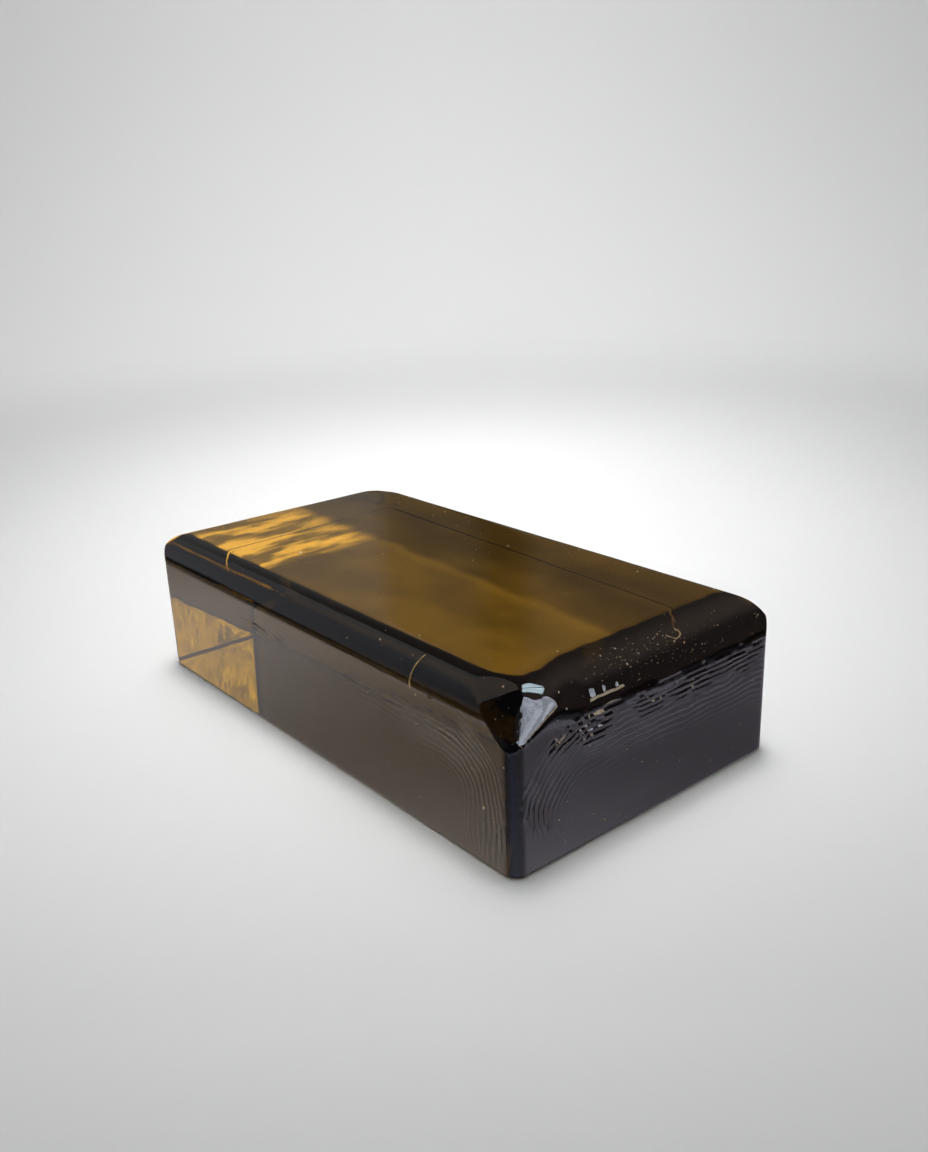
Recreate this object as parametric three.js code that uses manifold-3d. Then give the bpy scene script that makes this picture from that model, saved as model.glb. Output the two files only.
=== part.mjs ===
// A rectangular cake of bow rosin: one casting, with rounded top edges and a chipped corner.
// Millimetres. +X runs along the cake, +Z points up, and the origin is the middle of the underside.

import * as THREE from "three";
import { mergeVertices } from "three/addons/utils/BufferGeometryUtils.js";
import Module from "manifold-3d";

// Driving dimensions
const LENGTH = 60;
const WIDTH = 32.4;
const HEIGHT = 15.6;

// Rounding of the top edges: both long edges alike, the two ends poured differently
const SIDE_ROUND = 3.2;
const END_ROUND = 4.6;
const FAR_END_ROUND = 2.0;

// Rounding of the four upright corners, and the small arris around the underside
const CORNER_ROUND = 1.3;
const ARRIS = 0.25;

// The chip: a flat facet knocked off the corner where +X meets -Y, given by three of its points
const CHIP_ON_LONG_EDGE = new THREE.Vector3(LENGTH / 2 - 4.3, -WIDTH / 2 + 0.4, HEIGHT - 1.6);
const CHIP_ON_TOP = new THREE.Vector3(LENGTH / 2 - 2.3, -WIDTH / 2 + 2.8, HEIGHT - 0.6);
const CHIP_ON_UPRIGHT = new THREE.Vector3(LENGTH / 2 - 0.2, -WIDTH / 2 + 0.2, HEIGHT - 4.3);

// Straight stretches per quarter turn of a round edge
const ARC_STEPS = 16;

const wasm = await Module();
wasm.setup();

// A closed three.js geometry as a solid that can be cut
function solidOf(geometry) {
  const bare = geometry.clone();
  bare.deleteAttribute("normal");
  bare.deleteAttribute("uv");
  const merged = mergeVertices(bare);
  const vertProperties = Float32Array.from(merged.attributes.position.array);
  const triVerts = Uint32Array.from(merged.index.array);
  return new wasm.Manifold(new wasm.Mesh({ numProp: 3, vertProperties, triVerts }));
}

// A finished solid as a three.js geometry
function geometryOf(solid) {
  const mesh = solid.getMesh();
  const geometry = new THREE.BufferGeometry();
  geometry.setAttribute("position", new THREE.BufferAttribute(mesh.vertProperties, mesh.numProp));
  geometry.setIndex(new THREE.BufferAttribute(mesh.triVerts, 1));
  geometry.computeVertexNormals();
  return geometry;
}

// A shape pushed straight out to a length, centred on its own plane
function prism(shape, length) {
  const geometry = new THREE.ExtrudeGeometry(shape, {
    depth: length,
    bevelEnabled: false,
    curveSegments: ARC_STEPS,
  });
  return geometry.translate(0, 0, -length / 2);
}

// The cake seen from above: a rectangle with rounded corners
function planShape() {
  const x = LENGTH / 2;
  const y = WIDTH / 2;
  const r = CORNER_ROUND;
  const shape = new THREE.Shape();
  shape.moveTo(-x + r, -y);
  shape.absarc(x - r, -y + r, r, -Math.PI / 2, 0, false);
  shape.absarc(x - r, y - r, r, 0, Math.PI / 2, false);
  shape.absarc(-x + r, y - r, r, Math.PI / 2, Math.PI, false);
  shape.absarc(-x + r, -y + r, r, Math.PI, Math.PI * 1.5, false);
  shape.closePath();
  return shape;
}

// The cake seen level: an arris at both lower corners, and a round on each upper corner
function elevationShape(span, leftRound, rightRound) {
  const half = span / 2;
  const shape = new THREE.Shape();
  shape.moveTo(-half + ARRIS, 0);
  shape.lineTo(half - ARRIS, 0);
  shape.lineTo(half, ARRIS);
  shape.absarc(half - rightRound, HEIGHT - rightRound, rightRound, 0, Math.PI / 2, false);
  shape.absarc(-half + leftRound, HEIGHT - leftRound, leftRound, Math.PI / 2, Math.PI, false);
  shape.lineTo(-half, ARRIS);
  shape.closePath();
  return shape;
}

// The cake before it was chipped is what its three outlines have in common.
// Where the rounds of a long edge and an end meet, this leaves a mitre.
function castBlock() {
  const upright = prism(planShape(), HEIGHT).translate(0, 0, HEIGHT / 2);
  const alongX = prism(elevationShape(WIDTH, SIDE_ROUND, SIDE_ROUND), LENGTH)
    .rotateX(Math.PI / 2)
    .rotateZ(Math.PI / 2);
  const alongY = prism(elevationShape(LENGTH, FAR_END_ROUND, END_ROUND), WIDTH).rotateX(Math.PI / 2);
  return solidOf(upright).intersect(solidOf(alongX)).intersect(solidOf(alongY));
}

// A block lying outside the chip's plane, which takes the corner off
function chipCutter() {
  const size = LENGTH / 3;
  const facet = new THREE.Plane().setFromCoplanarPoints(
    CHIP_ON_UPRIGHT,
    CHIP_ON_TOP,
    CHIP_ON_LONG_EDGE,
  );
  const middle = new THREE.Vector3()
    .add(CHIP_ON_LONG_EDGE)
    .add(CHIP_ON_TOP)
    .add(CHIP_ON_UPRIGHT)
    .divideScalar(3);
  const turn = new THREE.Quaternion().setFromUnitVectors(new THREE.Vector3(0, 0, 1), facet.normal);
  return new THREE.BoxGeometry(size, size, size)
    .translate(0, 0, size / 2)
    .applyQuaternion(turn)
    .translate(middle.x, middle.y, middle.z);
}

const rosin = new THREE.MeshStandardMaterial({ color: 0x3a2812, roughness: 0.12, metalness: 0 });

const cake = new THREE.Mesh(geometryOf(castBlock().subtract(solidOf(chipCutter()))), rosin);
cake.name = "rosin_cake";

const part = new THREE.Group();
part.add(cake);

export default part;
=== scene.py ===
"""The looks of a rosin cake: dark amber resin cast in a mould, on a pale studio floor.

The cake is glassy resin of one colour, which bends the light that goes through it and soaks it up
with depth. Its rounded edges look black because of their shape. Its amber top and gold far end
show only where light comes through it: here from a lit patch on the floor under it and a gold pane
behind it, which are stage pieces that only rays through the resin see. Without those two, the top
is a dark brown-grey.
"""

import math
from random import Random

import bmesh
import bpy
import numpy as np
from mathutils import Matrix, Vector, noise
from mathutils.bvhtree import BVHTree


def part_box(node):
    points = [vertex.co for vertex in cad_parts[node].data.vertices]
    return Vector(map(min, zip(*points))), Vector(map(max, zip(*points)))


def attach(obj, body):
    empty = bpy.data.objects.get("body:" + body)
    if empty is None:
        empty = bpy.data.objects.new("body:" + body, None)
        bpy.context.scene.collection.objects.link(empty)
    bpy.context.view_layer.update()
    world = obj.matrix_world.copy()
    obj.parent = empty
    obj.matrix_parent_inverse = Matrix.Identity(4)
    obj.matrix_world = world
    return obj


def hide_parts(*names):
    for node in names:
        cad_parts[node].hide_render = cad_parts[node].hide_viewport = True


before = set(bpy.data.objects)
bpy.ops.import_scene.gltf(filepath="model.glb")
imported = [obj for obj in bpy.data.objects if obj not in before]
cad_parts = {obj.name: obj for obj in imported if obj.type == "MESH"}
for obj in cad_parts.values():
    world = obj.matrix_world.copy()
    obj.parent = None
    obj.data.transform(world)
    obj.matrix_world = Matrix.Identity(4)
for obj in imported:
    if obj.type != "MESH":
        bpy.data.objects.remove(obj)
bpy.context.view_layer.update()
low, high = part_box("rosin_cake")

MM = 0.001
LENGTH, WIDTH, HEIGHT = high - low

# Rounds of the top edges, the upright corners and the arris below, as the CAD model has them
SIDE_ROUND = 3.2 * MM
END_ROUND = 4.6 * MM
FAR_END_ROUND = 2.0 * MM
CORNER_ROUND = 1.3 * MM
ARRIS = 0.25 * MM

# The chip's facet, by three of its points, as the CAD model has it
CHIP_POINTS = (
    Vector((LENGTH / 2 - 4.3 * MM, -WIDTH / 2 + 0.4 * MM, HEIGHT - 1.6 * MM)),
    Vector((LENGTH / 2 - 2.3 * MM, -WIDTH / 2 + 2.8 * MM, HEIGHT - 0.6 * MM)),
    Vector((LENGTH / 2 - 0.2 * MM, -WIDTH / 2 + 0.2 * MM, HEIGHT - 4.3 * MM)),
)
CHIP_MIDDLE = sum(CHIP_POINTS, Vector()) / 3
RIM_WIDTH = 0.06 * MM

# How finely the corners are cut, and how far a surface turns before its edge looks sharp
ARC_POINTS = 8
SHARP_ANGLE = math.radians(18)

# Near the front corner the end's round is squarer, and its surface turns back towards the chip
SQUARE_REACH = 9 * MM
SQUARE_POWER = 3.2
BEND_REACH = 6.8 * MM
BEND_RADIUS = 9 * MM

# The surface droops beside the chip's upper edge, and at the far back corner
SHOULDER_TILT = math.radians(14)
SHOULDER_SOFTNESS = 0.12 * MM
DROOP_REACH = 5 * MM
DROOP_DEPTH = 0.9 * MM

# Rings left by cooling: how far from an edge they turn, how far apart they are, how high they stand
RING_TURN = 8 * MM
RING_SPACING = 0.55 * MM
END_RING_HEIGHT = 0.022 * MM
FRONT_RING_HEIGHT = 0.02 * MM
FAR_RING_HEIGHT = 0.016 * MM

# Crumbs of dust all over, and in the cloud on the near end's round
SPECKS = 420
CLOUD_SPECKS = 200

# Where dust settles from: more of it from above, some from each side that the cake shows
DUST_SIDES = ((0, 0, 1), (0, 0, 1), (1, 0, 0), (0, -1, 0), (0.7, 0, 0.7), (0, 1, 0), (-1, 0, 0))

# How the resin bends light and which colours it soaks up, with depth
RESIN_IOR = 1.53
RESIN_TINT = (0.6, 0.515, 0.0, 1)
RESIN_DENSITY = 200

# The floor, the curve up from it, the backdrop and the globe of room tones, in metres
FLOOR_LEVEL = -0.04 * MM
FLOOR_RADIUS = 0.3
COVE_RADIUS = 0.25
WALL_HEIGHT = 0.9
ROOM_RADIUS = 3.0
PATCHES_PER_METRE = 380


# ---------------------------------------------------------------- camera


def add_camera():
    """The camera at the photograph's angle: distances are in cake lengths, angles in degrees."""
    azimuth, elevation, roll = math.radians(50.99), math.radians(19.43), math.radians(-2.17)
    target = Vector((0.0355, 0.0402, 0.2323)) * LENGTH
    distance = 1.8633 * LENGTH
    back = Vector(
        (
            math.sin(azimuth) * math.cos(elevation),
            -math.cos(azimuth) * math.cos(elevation),
            math.sin(elevation),
        )
    )
    right = (-back).cross(Vector((0, 0, 1))).normalized()
    up = right.cross(-back)
    turned_right = right * math.cos(roll) + up * math.sin(roll)
    turned_up = up * math.cos(roll) - right * math.sin(roll)
    data = bpy.data.cameras.new("camera")
    data.lens = 33.91
    data.sensor_width = 36
    data.clip_start = 0.005
    camera = bpy.data.objects.new("camera", data)
    axes = Matrix((turned_right, turned_up, back)).transposed().to_4x4()
    camera.matrix_world = Matrix.Translation(target + back * distance) @ axes
    bpy.context.scene.collection.objects.link(camera)
    bpy.context.scene.camera = camera
    return camera


# ---------------------------------------------------------------- the cake's surface


def steps(start, stop, fine_beyond, fine, coarse):
    """Places from start to stop, a coarse step apart up to fine_beyond and a fine step after it."""
    wide = max(2, round((fine_beyond - start) / coarse))
    narrow = max(2, round((stop - fine_beyond) / fine))
    first = np.linspace(start, fine_beyond, wide, endpoint=False)
    return np.concatenate([first, np.linspace(fine_beyond, stop, narrow + 1)])


def inset(round_, depth):
    """How far a rounded edge stands in from its wall, at a depth from the face that it rounds."""
    rise = max(round_ - depth, 0)
    return round_ - math.sqrt(round_**2 - rise**2)


def corner_arc(quarter, half_x, half_y, round_, inset_before, inset_after):
    """One corner of the outline, anticlockwise: an arc that the sides beside it may cut short."""
    sx, sy = ((1, -1), (1, 1), (-1, 1), (-1, -1))[quarter]
    inset_x, inset_y = (inset_after, inset_before) if quarter % 2 == 0 else (inset_before, inset_after)
    cut_before = math.acos(max(-1, 1 - inset_before / round_))
    cut_after = math.acos(max(-1, 1 - inset_after / round_))
    start = math.radians(90 * quarter - 90) + cut_before
    stop = math.radians(90 * quarter) - cut_after
    if start >= stop:
        return np.tile([sx * (half_x - inset_x), sy * (half_y - inset_y)], (ARC_POINTS, 1))
    angles = np.linspace(start, stop, ARC_POINTS)
    centre = np.array([sx * (half_x - round_), sy * (half_y - round_)])
    return centre + round_ * np.column_stack([np.cos(angles), np.sin(angles)])


def outline(height, along, across):
    """The cake's outline at one height, anticlockwise from the front left corner."""
    foot = inset(ARRIS, height)
    half_x, half_y, round_ = LENGTH / 2 - foot, WIDTH / 2 - foot, CORNER_ROUND - foot
    side, far, end = (inset(r, HEIGHT - height) for r in (SIDE_ROUND, FAR_END_ROUND, END_ROUND))
    insets = (side, end, side, far)
    arcs = [
        corner_arc(k, half_x, half_y, round_, insets[k], insets[(k + 1) % 4]) for k in range(4)
    ]
    shares = (along, across, 1 - along[::-1], 1 - across[::-1])
    rows = []
    for k in range(4):
        before, after = arcs[k - 1][-1], arcs[k][0]
        rows.append(before + (after - before) * shares[k][1:-1, None])
        rows.append(arcs[k])
    points = np.concatenate(rows)
    return np.column_stack([points, np.full(len(points), height)])


def cake_grid():
    """The vertices and faces of the whole cake, before it is chipped."""
    x_places = steps(-LENGTH / 2, LENGTH / 2, LENGTH / 2 - 13 * MM, 0.14 * MM, 0.6 * MM)
    y_places = steps(-WIDTH / 2, WIDTH / 2, WIDTH / 2 - 12 * MM, 0.14 * MM, 0.5 * MM)
    along = (x_places - x_places[0]) / LENGTH
    across = 1 - ((y_places - y_places[0]) / WIDTH)[::-1]
    turns = np.linspace(0, math.pi / 2, 29)
    round_heights = HEIGHT - END_ROUND * (1 - np.cos(turns))
    wall_heights = steps(ARRIS + 0.03 * MM, HEIGHT - END_ROUND, 5 * MM, 0.12 * MM, 0.3 * MM)[::-1]
    foot_heights = ARRIS * (1 - np.sin(np.linspace(0, math.pi / 2, 5)))
    heights = np.concatenate([round_heights, wall_heights[1:], foot_heights])
    rings = [outline(h, along, across) for h in heights]
    per_ring = len(rings[0])
    vertices = list(np.concatenate(rings))
    faces = []
    for k in range(len(rings) - 1):
        for i in range(per_ring):
            j = (i + 1) % per_ring
            above, below = k * per_ring, (k + 1) * per_ring
            faces.append((above + i, below + i, below + j, above + j))

    # The flat of the top face, whose edge is the first ring
    nx, ny = len(along), len(across)
    x0, x1 = -LENGTH / 2 + FAR_END_ROUND, LENGTH / 2 - END_ROUND
    y0, y1 = -WIDTH / 2 + SIDE_ROUND, WIDTH / 2 - SIDE_ROUND
    first = len(vertices)
    for y in y0 + (y1 - y0) * across:
        for x in x0 + (x1 - x0) * along:
            vertices.append((x, y, HEIGHT))
    for j in range(ny - 1):
        for i in range(nx - 1):
            a = first + j * nx + i
            faces.append((a, a + 1, a + nx + 1, a + nx))

    # The underside is one flat face
    base = (len(rings) - 1) * per_ring
    faces.append(tuple(base + i for i in range(per_ring))[::-1])
    return vertices, faces


def soft_step(value, start, stop):
    """From 0 at start to 1 at stop, with no corner at either; start may be the larger."""
    share = np.clip((value - start) / (stop - start), 0, 1)
    return share * share * (3 - 2 * share)


def shape_corner(points):
    """Moves the end's surface along x, which leaves the top and the long sides as they are."""
    x, y, z = points.T
    from_front = y + WIDTH / 2
    rise = np.clip(z - (HEIGHT - END_ROUND), 0, END_ROUND) / END_ROUND
    power = 2 + (SQUARE_POWER - 2) * soft_step(from_front, SQUARE_REACH, 0.3 * SQUARE_REACH)
    squarer = END_ROUND * (np.sqrt(1 - rise**2) - (1 - rise**power) ** (1 / power))
    bend = np.clip(BEND_REACH - from_front, 0, None) ** 2 / (2 * BEND_RADIUS)
    bend *= soft_step(z - 0.4 * from_front, HEIGHT - END_ROUND, HEIGHT - END_ROUND + 2.4 * MM)
    reach = soft_step(x, LENGTH / 2 - 3 * END_ROUND, LENGTH / 2 - END_ROUND)
    moved = points.copy()
    moved[:, 0] -= (squarer + bend) * reach
    return moved


def lumps(points, size, seed):
    """Smooth noise from about -1 to 1, with lumps as wide as size: one number or one per axis."""
    places = points / np.array(size) + 7.31 * seed
    return np.array([noise.noise(Vector(place)) for place in places])


def cooling_rings(points, from_edge, from_round, spacing, seed):
    """Waves that run up beside an upright edge and turn in an arc to run below the round above it."""
    short_edge = np.clip(RING_TURN - from_edge, 0, None)
    short_round = np.clip(RING_TURN - from_round, 0, None)
    inwards = RING_TURN - np.hypot(short_edge, short_round)
    wander = 0.9 * lumps(points, 4 * MM, seed) + 0.35 * lumps(points, 1.3 * MM, seed + 1)
    phase = 2 * math.pi * (inwards / spacing + wander)
    strong = np.clip(0.8 + 0.9 * lumps(points, 3 * MM, seed + 2), 0.2, 1.2)
    return inwards, strong * (np.sin(phase) + 0.3 * np.sin(2 * phase))


def ring_fade(inwards):
    """Rings fade in from the edge, and out where they would meet in the middle."""
    return soft_step(inwards, RING_TURN - 0.1 * MM, 0.5 * MM) * soft_step(inwards, -0.6 * MM, 0.4 * MM)


def relief(points, normals):
    """How far the cast surface stands out from its plain shape, along its normal, in metres."""
    x, y, z = points.T
    nx, ny, nz = normals.T
    on_end, on_front = soft_step(nx, 0.8, 0.98), soft_step(-ny, 0.8, 0.98)
    on_far = soft_step(-nx, 0.7, 0.98)
    on_top = soft_step(nz, 0.3, 0.95)
    on_side_round = soft_step(np.abs(ny), 0.1, 0.4) * soft_step(nz, 0.05, 0.3)
    on_end_round = soft_step(nx, 0.02, 0.2) * soft_step(nz, 0.2, 0.5)
    above_foot = soft_step(z, 0.3 * MM, 1.5 * MM)
    height = 0.010 * MM * lumps(points, 4 * MM, 1) + 0.03 * MM * on_top * lumps(points, 11 * MM, 2)
    height += 0.02 * MM * on_end_round * lumps(points, (2.5 * MM, 1.5 * MM, 2.5 * MM), 3)
    height += 0.012 * MM * on_end_round * lumps(points, (1.2 * MM, 0.7 * MM, 1.2 * MM), 13)
    height += 0.008 * MM * on_side_round * lumps(points, (14 * MM, 0.7 * MM, 0.7 * MM), 4)
    height += 0.004 * MM * on_far * lumps(points, (2 * MM, 1.3 * MM, 7 * MM), 5)

    from_round = HEIGHT - END_ROUND + 1.2 * MM - z
    inwards, waves = cooling_rings(points, y + WIDTH / 2 - 0.6 * MM, from_round, RING_SPACING, 6)
    strong_above = 1 + 0.5 * soft_step(from_round, 3.5 * MM, 1.5 * MM)
    height += END_RING_HEIGHT * on_end * ring_fade(inwards) * strong_above * waves

    from_round = HEIGHT - SIDE_ROUND + 0.4 * MM - z
    inwards, waves = cooling_rings(points, LENGTH / 2 - x - 0.6 * MM, from_round, RING_SPACING, 9)
    near_corner = soft_step(x, LENGTH / 2 - 24 * MM, LENGTH / 2 - 12 * MM)
    height += FRONT_RING_HEIGHT * on_front * ring_fade(inwards) * near_corner * waves

    # A second set of rings on the long side, round a point towards its far end
    away = np.hypot((x + 9.5 * MM) / 2, z - 6.5 * MM)
    waves = np.sin(2 * math.pi * (away / (0.5 * MM) + 0.6 * lumps(points, 3 * MM, 14)))
    ring_zone = soft_step(away, 3.2 * MM, 4.2 * MM) * soft_step(away, 7 * MM, 5 * MM)
    ring_zone *= soft_step(x, -14 * MM, -9 * MM) * soft_step(z, 6.5 * MM, 9 * MM)
    height += FAR_RING_HEIGHT * on_front * ring_zone * waves
    return height * above_foot


def soft_shoulder(points):
    """Lets the surface droop to the chip's upper edge, so that this edge is straight."""
    left, top, foot = (np.array(point) for point in CHIP_POINTS)
    along = (top - left) / np.linalg.norm(top - left)
    upwards = left - foot - along * np.dot(left - foot, along)
    upwards /= np.linalg.norm(upwards)
    outward = np.cross(along, upwards)
    outward *= math.copysign(1, outward[2])
    tilted = outward * math.cos(SHOULDER_TILT) + upwards * math.sin(SHOULDER_TILT)
    height = (points - left) @ tilted
    place = (points - left) @ along
    width = np.linalg.norm(top - left)
    inside = soft_step(place, -2.5 * MM, 0) * soft_step(place, width + 0.9 * MM, width - 0.3 * MM)
    above = soft_step((points - left) @ upwards, -0.4 * MM, 0.1 * MM)
    push = 0.5 * (height + np.sqrt(height**2 + SHOULDER_SOFTNESS**2))
    return points - (push * inside * above)[:, None] * tilted


def droop_far_corner(points):
    """Lets the far back corner of the top sink, as the casting does there."""
    x, y, z = points.T
    near_end = soft_step(x + LENGTH / 2, DROOP_REACH, 0)
    near_back = soft_step(WIDTH / 2 - y, DROOP_REACH, 0)
    sunk = points.copy()
    sunk[:, 2] -= DROOP_DEPTH * near_end * near_back * (z / HEIGHT) ** 2
    return sunk


def add_relief(bm):
    bm.normal_update()
    points = np.array([v.co for v in bm.verts])
    normals = np.array([v.normal for v in bm.verts])
    moved = points + normals * relief(points, normals)[:, None]
    for vertex, place in zip(bm.verts, moved):
        vertex.co = place


def chip_corner(bm):
    """Cuts the front corner off along the chip's facet and closes the body again."""
    a, b, c = CHIP_POINTS
    outward = (b - a).cross(c - a).normalized()
    if outward.z < 0:
        outward = -outward
    whole = bm.verts[:] + bm.edges[:] + bm.faces[:]
    cut = bmesh.ops.bisect_plane(bm, geom=whole, plane_co=a, plane_no=outward, clear_outer=True)
    rim = [e for e in cut["geom_cut"] if isinstance(e, bmesh.types.BMEdge)]
    filled = bmesh.ops.holes_fill(bm, edges=rim, sides=0)
    for facet in filled["faces"]:
        bmesh.ops.inset_individual(bm, faces=[facet], thickness=RIM_WIDTH, depth=-0.4 * RIM_WIDTH)


def shade(bm):
    """Smooth faces, but flat cut faces and sharp edges where the surface really turns."""
    bm.normal_update()
    for face in bm.faces:
        face.smooth = len(face.verts) < 5
    for edge in bm.edges:
        flat_beside = any(not f.smooth for f in edge.link_faces)
        edge.smooth = not flat_beside and edge.calc_face_angle() < SHARP_ANGLE


def make_cake():
    vertices, faces = cake_grid()
    shaped = droop_far_corner(soft_shoulder(shape_corner(np.array(vertices))))
    mesh = bpy.data.meshes.new("cake")
    mesh.from_pydata(shaped.tolist(), [], faces)
    bm = bmesh.new()
    bm.from_mesh(mesh)
    bmesh.ops.remove_doubles(bm, verts=bm.verts, dist=0.004 * MM)
    bmesh.ops.recalc_face_normals(bm, faces=bm.faces)
    add_relief(bm)
    chip_corner(bm)
    shade(bm)
    bm.to_mesh(mesh)
    bm.free()
    cake = bpy.data.objects.new("cake", mesh)
    bpy.context.scene.collection.objects.link(cake)
    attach(cake, "root")
    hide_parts("rosin_cake")
    return cake


# ---------------------------------------------------------------- dust and bow hair


def loose_mesh(name, vertices, faces):
    """A small piece that lies on the cake."""
    mesh = bpy.data.meshes.new(name)
    mesh.from_pydata([tuple(v) for v in vertices], [], faces)
    mesh.shade_smooth()
    thing = bpy.data.objects.new(name, mesh)
    bpy.context.scene.collection.objects.link(thing)
    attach(thing, "root")
    return thing


def speck_places(random, surface):
    """Places and normals of dust on the faces that point up or outwards, from all round the cake."""
    places = []
    while len(places) < SPECKS:
        across = [random.uniform(-0.5, 0.5) * side for side in (LENGTH, WIDTH)]
        target = Vector([*across, HEIGHT * random.random()])
        side = Vector(random.choice(DUST_SIDES))
        place, normal, _, _ = surface.ray_cast(target + side * LENGTH, -side)
        if place is not None and place.z > 1 * MM:
            places.append((place, normal))
    cloud = Vector((LENGTH / 2 - 1.6 * MM, 0.5 * MM, HEIGHT - 1.5 * MM))
    for _ in range(CLOUD_SPECKS):
        near = cloud + Vector((random.gauss(0, 0.9), random.gauss(0, 4), random.gauss(0, 1))) * MM
        place, normal, _, _ = surface.find_nearest(near)
        places.append((place, normal))
    places.append(surface.find_nearest(CHIP_MIDDLE)[:2])
    return places


def add_dust(surface):
    """Rosin dust: crumbs of many sizes, each a lumpy flake pressed onto the surface."""
    random = Random(4)
    ball = bmesh.new()
    bmesh.ops.create_icosphere(ball, subdivisions=1, radius=1)
    corners = [v.co.copy() for v in ball.verts]
    triangles = [tuple(v.index for v in f.verts) for f in ball.faces]
    ball.free()
    vertices, faces = [], []
    for k, (place, normal) in enumerate(speck_places(random, surface)):
        usual = 0.028 * MM if k < SPECKS else 0.019 * MM
        size = min(usual * math.exp(random.gauss(0, 0.55)), 0.16 * MM)
        spin = Matrix.Rotation(random.uniform(0, 2 * math.pi), 3, "Z")
        frame_here = normal.to_track_quat("Z", "Y").to_matrix() @ spin
        stretch = Vector((random.uniform(0.9, 2.2), 1, random.uniform(0.3, 0.6)))
        first = len(vertices)
        for corner in corners:
            lumpy = corner * random.uniform(0.75, 1.2)
            vertices.append(place + frame_here @ (Vector(a * b for a, b in zip(lumpy, stretch)) * size))
        faces.extend(tuple(first + i for i in triangle) for triangle in triangles)
    return loose_mesh("dust", vertices, faces)


def smooth_path(points, count):
    """Points along a Catmull-Rom curve through the given ones."""
    ends = [2 * points[0] - points[1], *points, 2 * points[-1] - points[-2]]
    path = []
    for k in range(count):
        place = k / (count - 1) * (len(points) - 1)
        i = min(int(place), len(points) - 2)
        t = place - i
        a, b, c, d = ends[i : i + 4]
        bend = (2 * a - 5 * b + 4 * c - d) * t**2 + (3 * b - a - 3 * c + d) * t**3
        path.append(0.5 * (2 * b + (c - a) * t + bend))
    return path


def add_hair(name, surface, points, radius, sides=8):
    """A stray bow hair that lies on the cake, from points in millimetres near its surface."""
    path = []
    for point in smooth_path([Vector(p) * MM for p in points], 28):
        place, normal, _, _ = surface.find_nearest(point)
        path.append(place + normal * radius * 0.7)
    vertices, faces = [], []
    for k, centre in enumerate(path):
        ahead = path[min(k + 1, len(path) - 1)] - path[max(k - 1, 0)]
        turn = ahead.to_track_quat("Z", "Y").to_matrix()
        share = k / (len(path) - 1)
        girth = radius * (0.45 + 0.55 * math.sin(math.pi * share) ** 0.4)
        for i in range(sides):
            angle = 2 * math.pi * i / sides
            vertices.append(centre + turn @ Vector((math.cos(angle), math.sin(angle), 0)) * girth)
    for k in range(len(path) - 1):
        for i in range(sides):
            j = (i + 1) % sides
            faces.append((k * sides + i, k * sides + j, (k + 1) * sides + j, (k + 1) * sides + i))
    last = (len(path) - 1) * sides
    faces.append(tuple(range(sides))[::-1])
    faces.append(tuple(range(last, last + sides)))
    return loose_mesh(name, vertices, faces)


# ---------------------------------------------------------------- materials


def new_material(name):
    material = bpy.data.materials.new(name)
    material.use_nodes = True
    material.node_tree.nodes.clear()
    return material, material.node_tree.nodes, material.node_tree.links


class Graph:
    """Short names for the shader nodes that the stage and the resin share."""

    def __init__(self, material):
        self.nodes = material.node_tree.nodes
        self.links = material.node_tree.links

    def plug(self, socket, value):
        if hasattr(value, "is_output"):
            self.links.new(value, socket)
        else:
            socket.default_value = value

    def math(self, operation, a, b=0.0, c=0.0):
        node = self.nodes.new("ShaderNodeMath")
        node.operation = operation
        for socket, value in zip(node.inputs, (a, b, c)):
            self.plug(socket, value)
        return node.outputs[0]

    def smooth(self, value, low, high, to_low=0.0, to_high=1.0):
        """A soft step: to_low below low, to_high above high."""
        node = self.nodes.new("ShaderNodeMapRange")
        node.interpolation_type = "SMOOTHSTEP"
        for name, v in (("From Min", low), ("From Max", high), ("To Min", to_low), ("To Max", to_high)):
            node.inputs[name].default_value = v
        self.plug(node.inputs["Value"], value)
        return node.outputs["Result"]

    def mix(self, share, a, b, blend="MIX"):
        node = self.nodes.new("ShaderNodeMix")
        node.data_type = "RGBA"
        node.blend_type = blend
        colours = [socket for socket in node.inputs if socket.type == "RGBA"]
        self.plug(node.inputs[0], share)
        self.plug(colours[0], a)
        self.plug(colours[1], b)
        return next(socket for socket in node.outputs if socket.type == "RGBA")

    def ramp(self, value, stops):
        node = self.nodes.new("ShaderNodeValToRGB")
        node.color_ramp.interpolation = "EASE"
        elements = node.color_ramp.elements
        while len(elements) > 1:
            elements.remove(elements[-1])
        elements[0].position, elements[0].color = stops[0][0], (*stops[0][1], 1)
        for place, colour in stops[1:]:
            element = elements.new(place)
            element.color = (*colour, 1)
        self.plug(node.inputs["Fac"], value)
        return node.outputs["Color"]

    def stretch(self, vector, scale):
        node = self.nodes.new("ShaderNodeMapping")
        node.inputs["Scale"].default_value = scale
        self.plug(node.inputs["Vector"], vector)
        return node.outputs["Vector"]

    def split(self, vector):
        node = self.nodes.new("ShaderNodeSeparateXYZ")
        self.plug(node.inputs["Vector"], vector)
        return node.outputs

    def noise(self, vector, scale, detail):
        node = self.nodes.new("ShaderNodeTexNoise")
        node.inputs["Scale"].default_value = scale
        node.inputs["Detail"].default_value = detail
        self.plug(node.inputs["Vector"], vector)
        return node.outputs["Fac"]

    def glow(self, colour, strength=1.0):
        """Makes the material shine, and nothing else."""
        node = self.nodes.new("ShaderNodeEmission")
        self.plug(node.inputs["Color"], colour)
        self.plug(node.inputs["Strength"], strength)
        output = self.nodes.new("ShaderNodeOutputMaterial")
        self.links.new(node.outputs[0], output.inputs["Surface"])


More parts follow.
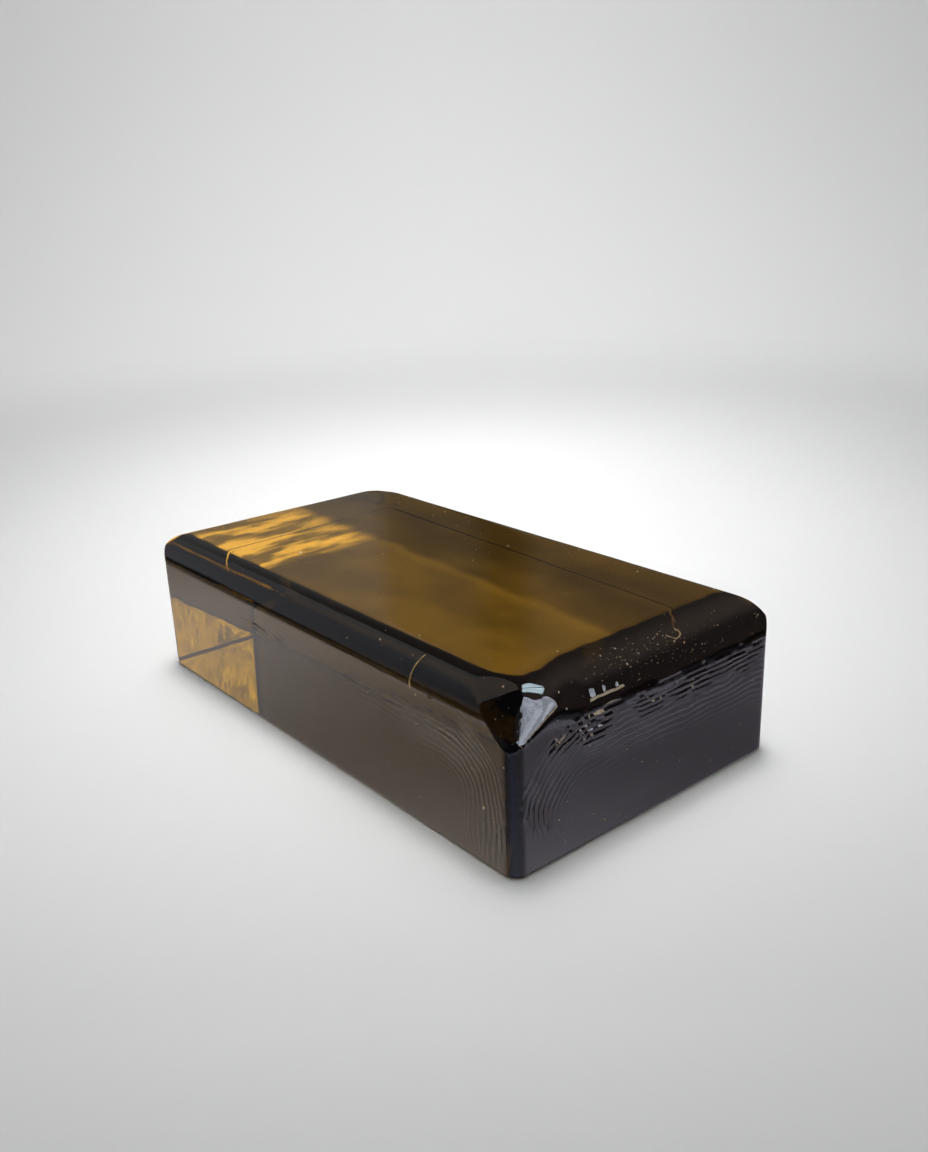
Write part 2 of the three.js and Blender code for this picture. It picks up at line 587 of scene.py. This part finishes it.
def rosin_material():
    """Dark amber resin: it bends light, soaks it up with depth, and has a faintly smeared surface."""
    material, nodes, links = new_material("rosin")
    g = Graph(material)
    output = nodes.new("ShaderNodeOutputMaterial")
    resin = nodes.new("ShaderNodeBsdfPrincipled")
    resin.inputs["Base Color"].default_value = (1, 0.98, 0.94, 1)
    resin.inputs["IOR"].default_value = RESIN_IOR
    resin.inputs["Transmission Weight"].default_value = 1.0
    links.new(resin.outputs["BSDF"], output.inputs["Surface"])
    depth = nodes.new("ShaderNodeVolumeAbsorption")
    depth.inputs["Color"].default_value = RESIN_TINT
    depth.inputs["Density"].default_value = RESIN_DENSITY
    links.new(depth.outputs["Volume"], output.inputs["Volume"])

    where = nodes.new("ShaderNodeTexCoord").outputs["Object"]
    smears = g.noise(g.stretch(where, (0.5, 1, 1)), 1 / (5 * MM), 4)
    links.new(g.smooth(smears, 0.42, 0.68, 0.015, 0.055), resin.inputs["Roughness"])

    # Fine streaks along the long rounds, left by the mould, and a faint grain everywhere
    _, y, z = g.split(where)
    from_middle = g.math("ABSOLUTE", y)
    on_round = g.math(
        "MULTIPLY",
        g.smooth(from_middle, WIDTH / 2 - SIDE_ROUND, WIDTH / 2 - SIDE_ROUND + 0.6 * MM),
        g.smooth(z, HEIGHT - SIDE_ROUND - 0.3 * MM, HEIGHT - SIDE_ROUND + 0.6 * MM),
    )
    streaks = g.math("MULTIPLY", g.noise(g.stretch(where, (0.02, 1, 1)), 1 / (0.3 * MM), 2), on_round)
    grain = g.noise(where, 1 / (0.8 * MM), 3)

    # The chip broke off in shallow waves
    from_chip = nodes.new("ShaderNodeVectorMath")
    from_chip.operation = "DISTANCE"
    links.new(where, from_chip.inputs[0])
    from_chip.inputs[1].default_value = CHIP_MIDDLE
    on_chip = g.smooth(from_chip.outputs["Value"], 2.0 * MM, 1.2 * MM)
    broken = g.math("MULTIPLY", g.noise(g.stretch(where, (1, 1, 0.6)), 1 / (1.1 * MM), 1), on_chip)
    streaks = g.math("MULTIPLY_ADD", broken, 6, streaks)
    bump = nodes.new("ShaderNodeBump")
    bump.inputs["Strength"].default_value = 1.0
    bump.inputs["Distance"].default_value = 0.012 * MM
    links.new(g.math("MULTIPLY_ADD", grain, 0.12, streaks), bump.inputs["Height"])
    links.new(bump.outputs["Normal"], resin.inputs["Normal"])
    return material


def speck_material(name, pale, dark, lump, roughness):
    """A matte grain whose colour and roughness change from one lump to the next."""
    material, nodes, links = new_material(name)
    g = Graph(material)
    where = nodes.new("ShaderNodeTexCoord").outputs["Object"]
    broad = g.noise(where, 1 / lump, 2)
    fine = g.noise(where, 6 / lump, 3)
    shader = nodes.new("ShaderNodeBsdfPrincipled")
    links.new(g.mix(g.smooth(broad, 0.35, 0.65), (*dark, 1), (*pale, 1)), shader.inputs["Base Color"])
    links.new(g.smooth(fine, 0.3, 0.7, roughness - 0.15, roughness + 0.15), shader.inputs["Roughness"])
    bump = nodes.new("ShaderNodeBump")
    bump.inputs["Distance"].default_value = 0.01 * MM
    links.new(fine, bump.inputs["Height"])
    links.new(bump.outputs["Normal"], shader.inputs["Normal"])
    output = nodes.new("ShaderNodeOutputMaterial")
    links.new(shader.outputs["BSDF"], output.inputs["Surface"])
    return material


def plain_material(name, colour, roughness):
    material, nodes, links = new_material(name)
    output = nodes.new("ShaderNodeOutputMaterial")
    shader = nodes.new("ShaderNodeBsdfPrincipled")
    shader.inputs["Base Color"].default_value = colour
    shader.inputs["Roughness"].default_value = roughness
    shader.inputs["Specular IOR Level"].default_value = 0.2
    links.new(shader.outputs["BSDF"], output.inputs["Surface"])
    return material


# ---------------------------------------------------------------- studio


def spin_profile(name, profile, turns=96):
    """A surface of revolution about +Z from (radius, height) pairs."""
    vertices, faces = [], []
    for radius, height in profile:
        for k in range(turns):
            angle = 2 * math.pi * k / turns
            vertices.append((radius * math.cos(angle), radius * math.sin(angle), height))
    for ring in range(len(profile) - 1):
        for k in range(turns):
            j = (k + 1) % turns
            here, next_ring = ring * turns, (ring + 1) * turns
            faces.append((here + k, here + j, next_ring + j, next_ring + k))
    mesh = bpy.data.meshes.new(name)
    mesh.from_pydata(vertices, [], faces)
    mesh.shade_smooth()
    thing = bpy.data.objects.new(name, mesh)
    bpy.context.scene.collection.objects.link(thing)
    return thing


def add_studio():
    paper = plain_material("studio_paper", (0.8, 0.8, 0.8, 1), 0.9)
    floor = spin_profile("floor", [(0, FLOOR_LEVEL), (0.1, FLOOR_LEVEL), (FLOOR_RADIUS, FLOOR_LEVEL)])
    floor.data.materials.append(paper)
    floor.visible_glossy = False
    arc = [
        (FLOOR_RADIUS + COVE_RADIUS * math.sin(a), FLOOR_LEVEL + COVE_RADIUS * (1 - math.cos(a)))
        for a in np.linspace(0, math.pi / 2, 17)
    ]
    cove = spin_profile("backdrop", arc + [(FLOOR_RADIUS + COVE_RADIUS, WALL_HEIGHT)])
    cove.data.materials.append(paper)
    cove.visible_glossy = False
    world = bpy.data.worlds.new("dim_room")
    world.use_nodes = True
    world.node_tree.nodes["Background"].inputs["Color"].default_value = (0.025, 0.025, 0.025, 1)
    bpy.context.scene.world = world


def turn_share(degrees):
    """A compass angle, from -180 to 180 degrees, as a share of the full turn."""
    return (degrees + 180) / 360


def room_material():
    """The dim room that the resin mirrors: a tone for each direction, seen by reflections alone."""
    material, nodes, links = new_material("room_tones")
    g = Graph(material)
    where = nodes.new("ShaderNodeTexCoord").outputs["Object"]
    unit = nodes.new("ShaderNodeVectorMath")
    unit.operation = "NORMALIZE"
    links.new(where, unit.inputs[0])
    x, y, z = g.split(unit.outputs[0])
    azimuth = g.math("MULTIPLY_ADD", g.math("ARCTAN2", y, x), 1 / (2 * math.pi), 0.5)
    elevation = g.math("MULTIPLY", g.math("ARCSINE", z), 180 / math.pi)
    ground = g.ramp(
        azimuth,
        [
            (turn_share(-175), (0.62, 0.56, 0.54)),
            (turn_share(-150), (0.86, 0.80, 0.78)),
            (turn_share(-125), (0.74, 0.72, 0.72)),
            (turn_share(-100), (0.36, 0.35, 0.36)),
            (turn_share(-51), (0.5, 0.54, 0.75)),
            (turn_share(5), (0.5, 0.5, 0.6)),
            (turn_share(40), (0.95, 0.92, 1.08)),
            (turn_share(58), (0.6, 0.56, 0.66)),
            (turn_share(140), (0.4, 0.4, 0.4)),
        ],
    )
    ground_share = g.ramp(
        g.math("MULTIPLY_ADD", elevation, 1 / 90, 1),
        [
            (1 - 48 / 90, (0.3, 0.3, 0.3)),
            (1 - 36 / 90, (1.1, 1.1, 1.1)),
            (1 - 28 / 90, (0.6, 0.6, 0.6)),
            (1 - 20 / 90, (1.15, 1.15, 1.15)),
            (1 - 14 / 90, (0.25, 0.25, 0.25)),
            (1 - 7 / 90, (0.04, 0.04, 0.04)),
        ],
    )
    walls = g.ramp(
        azimuth,
        [
            (turn_share(-178), (0.28, 0.28, 0.28)),
            (turn_share(-150), (0.34, 0.35, 0.38)),
            (turn_share(-125), (0.2, 0.2, 0.22)),
            (turn_share(-60), (0.03, 0.032, 0.05)),
            (turn_share(20), (0.1, 0.08, 0.08)),
            (turn_share(60), (0.16, 0.13, 0.12)),
            (turn_share(130), (0.10, 0.09, 0.08)),
            (turn_share(136.5), (0.10, 0.09, 0.08)),
            (turn_share(138), (0.02, 0.02, 0.02)),
            (turn_share(139.5), (0.02, 0.02, 0.02)),
            (turn_share(141), (0.09, 0.09, 0.08)),
            (turn_share(144.5), (0.09, 0.09, 0.08)),
            (turn_share(146.5), (0.24, 0.24, 0.23)),
            (turn_share(170), (0.22, 0.22, 0.22)),
        ],
    )
    ceiling = g.ramp(
        azimuth,
        [
            (turn_share(-170), (0.4, 0.41, 0.41)),
            (turn_share(-135), (0.4, 0.42, 0.44)),
            (turn_share(-110), (0.04, 0.04, 0.04)),
            (turn_share(-60), (0.04, 0.04, 0.04)),
            (turn_share(30), (0.4, 0.32, 0.28)),
            (turn_share(75), (0.42, 0.33, 0.28)),
            (turn_share(130), (0.12, 0.1, 0.09)),
        ],
    )
    ground = g.mix(1.0, ground, ground_share, "MULTIPLY")
    upper = g.mix(g.smooth(elevation, 26, 40), walls, ceiling)
    tone = g.mix(g.smooth(elevation, -5, 1), ground, upper)
    g.glow(tone)
    return material


def only_seen_in(thing, *kinds):
    """Hides a stage piece from every kind of ray but those named."""
    for kind in ("camera", "diffuse", "glossy", "transmission", "shadow", "volume_scatter"):
        setattr(thing, "visible_" + kind, kind in kinds)


def add_room():
    """A globe around everything that carries the room's tones for reflections."""
    angles = np.linspace(-math.pi / 2, math.pi / 2, 33)
    room = spin_profile("room", [(ROOM_RADIUS * math.cos(a), ROOM_RADIUS * math.sin(a)) for a in angles])
    room.data.materials.append(room_material())
    only_seen_in(room, "glossy")


def pool_material():
    """A stand-in for the light that falls through the resin, broad and dim with bright patches."""
    material, nodes, _ = new_material("light_under_cake")
    g = Graph(material)
    where = nodes.new("ShaderNodeTexCoord").outputs["Object"]
    x, y, _ = g.split(where)
    patches = g.noise(g.stretch(where, (1, 0.3, 1)), PATCHES_PER_METRE, 3)
    far_end = g.smooth(x, -LENGTH / 2 + 10 * MM, -LENGTH / 2 + 6.5 * MM)
    front_part = g.smooth(y, 9 * MM, 4 * MM)
    lit = g.math("MULTIPLY", far_end, front_part)
    bright = g.math("MULTIPLY", lit, g.smooth(patches, 0.42, 0.6, 0.15, 5.0))
    broad = g.smooth(g.noise(g.stretch(where, (0.6, 1, 1)), 1 / (8 * MM), 2), 0.35, 0.65, 0.58, 0.9)
    wavy_y = g.math("MULTIPLY_ADD", g.noise(where, 1 / (7 * MM), 2), 3 * MM, y)
    past_ridge = g.smooth(wavy_y, 8.6 * MM, 10 * MM, 1, 0.74)
    near_back = g.smooth(wavy_y, 12 * MM, 16 * MM, 1, 0.7)
    under_back = g.math("MULTIPLY", past_ridge, near_back)
    rise, fall = g.smooth(wavy_y, 7.2 * MM, 8.6 * MM), g.smooth(wavy_y, 10 * MM, 8.6 * MM, 0, 0.2)
    ridge = g.math("MULTIPLY", rise, fall)
    strength = g.math("MULTIPLY_ADD", broad, under_back, g.math("ADD", bright, ridge))
    g.glow((1, 0.72, 0.5, 1), strength)
    return material


def add_floor_light():
    """The light on the floor under the cake, seen through the resin alone."""
    x, y, z = LENGTH / 2, WIDTH / 2, FLOOR_LEVEL / 2
    mesh = bpy.data.meshes.new("light_under_cake")
    mesh.from_pydata([(-x, -y, z), (x, -y, z), (x, y, z), (-x, y, z)], [], [(0, 1, 2, 3)])
    mesh.materials.append(pool_material())
    patch = bpy.data.objects.new("light_under_cake", mesh)
    bpy.context.scene.collection.objects.link(patch)
    only_seen_in(patch, "transmission")


def add_panel(name, place, target, size, power, spread=180):
    """A soft square lamp that lights matte things alone: places and sizes in metres."""
    light = bpy.data.lights.new(name, "AREA")
    light.shape = "SQUARE"
    light.size = size
    light.energy = power
    light.spread = math.radians(spread)
    panel = bpy.data.objects.new(name, light)
    panel.location = place
    panel.rotation_euler = (Vector(target) - Vector(place)).to_track_quat("-Z", "Y").to_euler()
    only_seen_in(panel, "diffuse")
    bpy.context.scene.collection.objects.link(panel)


def towards(azimuth, elevation, distance):
    """The point at a distance from the frame's origin in a direction given in degrees."""
    turn, rise = math.radians(azimuth), math.radians(elevation)
    level = math.cos(rise)
    return distance * Vector((math.cos(turn) * level, math.sin(turn) * level, math.sin(rise)))


def glow_material(name, colour, dim, bright, lump, stretch=1.0):
    """Uneven light, from dim to bright, in lumps of a size that may be stretched upright."""
    material, nodes, _ = new_material(name)
    g = Graph(material)
    where = g.stretch(nodes.new("ShaderNodeTexCoord").outputs["Object"], (1, 1, 1 / stretch))
    uneven = g.noise(where, 1 / lump, 3)
    g.glow((*colour, 1), g.smooth(uneven, 0.38, 0.62, dim, bright))
    return material


def add_pane(name, corners, distance, glow, seen_in):
    """A bright pane of the studio's window, by the directions of its corners in degrees."""
    mesh = bpy.data.meshes.new(name)
    mesh.from_pydata([towards(az, el, distance) for az, el in corners], [], [tuple(range(len(corners)))])
    mesh.materials.append(glow)
    pane = bpy.data.objects.new(name, mesh)
    bpy.context.scene.collection.objects.link(pane)
    only_seen_in(pane, seen_in)


def add_lights():
    add_floor_light()
    add_panel("overhead", (-0.05, 0.05, 0.8), (-0.05, 0.05, 0), 0.6, 0.25)
    add_panel("behind", (-0.19, 0.15, 0.55), (-0.19, 0.15, 0), 0.3, 0.32, spread=80)
    add_panel("wall_wash", (-0.1, 0.08, 0.45), (-0.42, 0.34, 0.15), 0.2, 0.56, spread=120)
    add_panel("glow_behind", (-0.06, 0.05, 0.3), (-0.06, 0.05, 0), 0.12, 0.05, spread=40)
    add_panel("glow_on_cake", (0, 0, 0.3), (0, 0, 0), 0.1, 0.03, spread=35)
    sky = glow_material("sky_glow", (0.72, 0.9, 1.0), 9, 13, 0.1)
    haze = glow_material("haze_glow", (0.8, 0.86, 1.0), 5, 9, 0.15)
    gold = glow_material("sun_glow", (0.9, 0.95, 0.7), 0.3, 17, 0.005, 2.5)
    add_pane("pane_left", [(34, 50), (66, 54), (62, 74), (24, 70)], 1.0, sky, "glossy")
    add_pane("pane_right", [(70, 55), (100, 59), (110, 74), (68, 75)], 1.0, sky, "glossy")
    add_pane("pane_low", [(-14, 14), (40, 13), (42, 24), (33, 44), (-14, 48)], 1.0, haze, "glossy")
    warm = glow_material("warm_glow", (1.0, 0.82, 0.6), 3, 6, 0.1)
    add_pane("pane_sill", [(-14, 7), (42, 7), (42, 11.5), (-14, 12)], 1.0, warm, "glossy")
    add_pane("pane_far", [(15, 14), (36, 14), (36, 34), (15, 34)], 0.45, gold, "transmission")


# ---------------------------------------------------------------- the scene


# Name, places in millimetres and radius of each stray hair
HAIRS = (
    (
        "hair_on_long_round",
        ((17.7, -14.6, 15.2), (17.45, -15.6, 14.4), (17.35, -16.2, 13.2), (17.5, -16.3, 12.6)),
        0.065 * MM,
    ),
    (
        "hair_on_end_round",
        ((28.2, 3.4, 14.9), (28.6, 4.2, 14.4), (28.4, 5.0, 14.6), (27.9, 4.8, 15.0)),
        0.04 * MM,
    ),
)

add_camera()
cake = make_cake()
cake.data.materials.append(rosin_material())
bpy.context.view_layer.update()
surface = BVHTree.FromObject(cake, bpy.context.evaluated_depsgraph_get())
dust = add_dust(surface)
dust_look = speck_material("rosin_dust", (0.72, 0.6, 0.42), (0.4, 0.24, 0.09), 0.6 * MM, 0.7)
dust.data.materials.append(dust_look)
hair_look = speck_material("bow_hair", (0.62, 0.43, 0.2), (0.42, 0.26, 0.1), 0.5 * MM, 0.4)
for name, points, radius in HAIRS:
    add_hair(name, surface, points, radius).data.materials.append(hair_look)
add_studio()
add_room()
add_lights()

scene = bpy.context.scene
scene.view_settings.view_transform = "Standard"
scene.cycles.max_bounces = 32
scene.cycles.transmission_bounces = 32
scene.cycles.glossy_bounces = 12
scene.cycles.sample_clamp_indirect = 10
